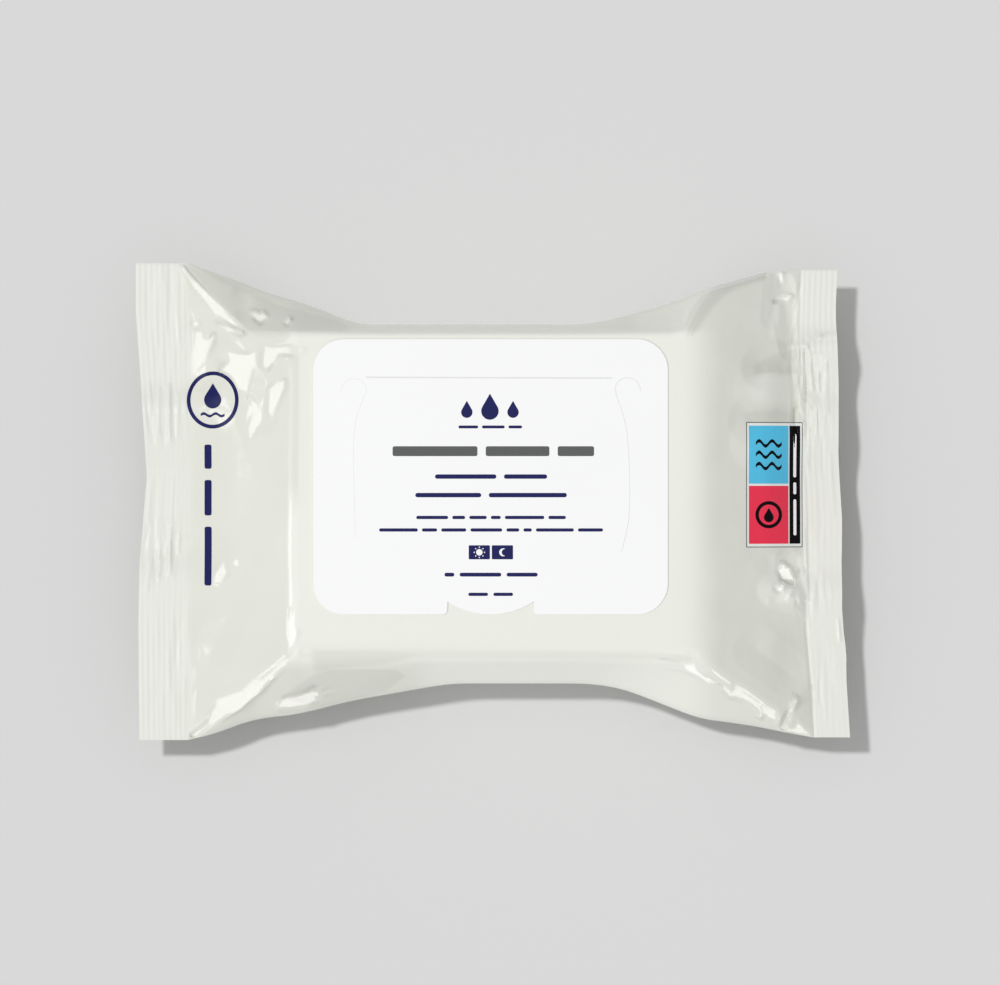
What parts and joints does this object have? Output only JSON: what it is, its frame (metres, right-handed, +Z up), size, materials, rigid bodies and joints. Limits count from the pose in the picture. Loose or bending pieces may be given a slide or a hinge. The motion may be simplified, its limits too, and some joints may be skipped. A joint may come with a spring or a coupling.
{
  "type": "wet wipes pack",
  "caption": "Sealed flow-wrapped film pack of moist wipes with crimped ribbed ends, a back fin seam and a white peel-and-reseal label with a lift tab on top.",
  "frame": {"origin": "middle of the underside, on the surface that the pack lies on", "axes": "+X along the pack from its left crimped end to its right one, +Y across it away from the label's tab, +Z up through the label"},
  "size_m": [0.19, 0.1268, 0.0306],
  "materials": {
    "film": "glossy thin packaging film, off-white, lightly crumpled",
    "label": "smooth satin white label film"
  },
  "bodies": {
    "root": {"film_pack": "film", "reseal_label": "label"}
  },
  "joints": []
}
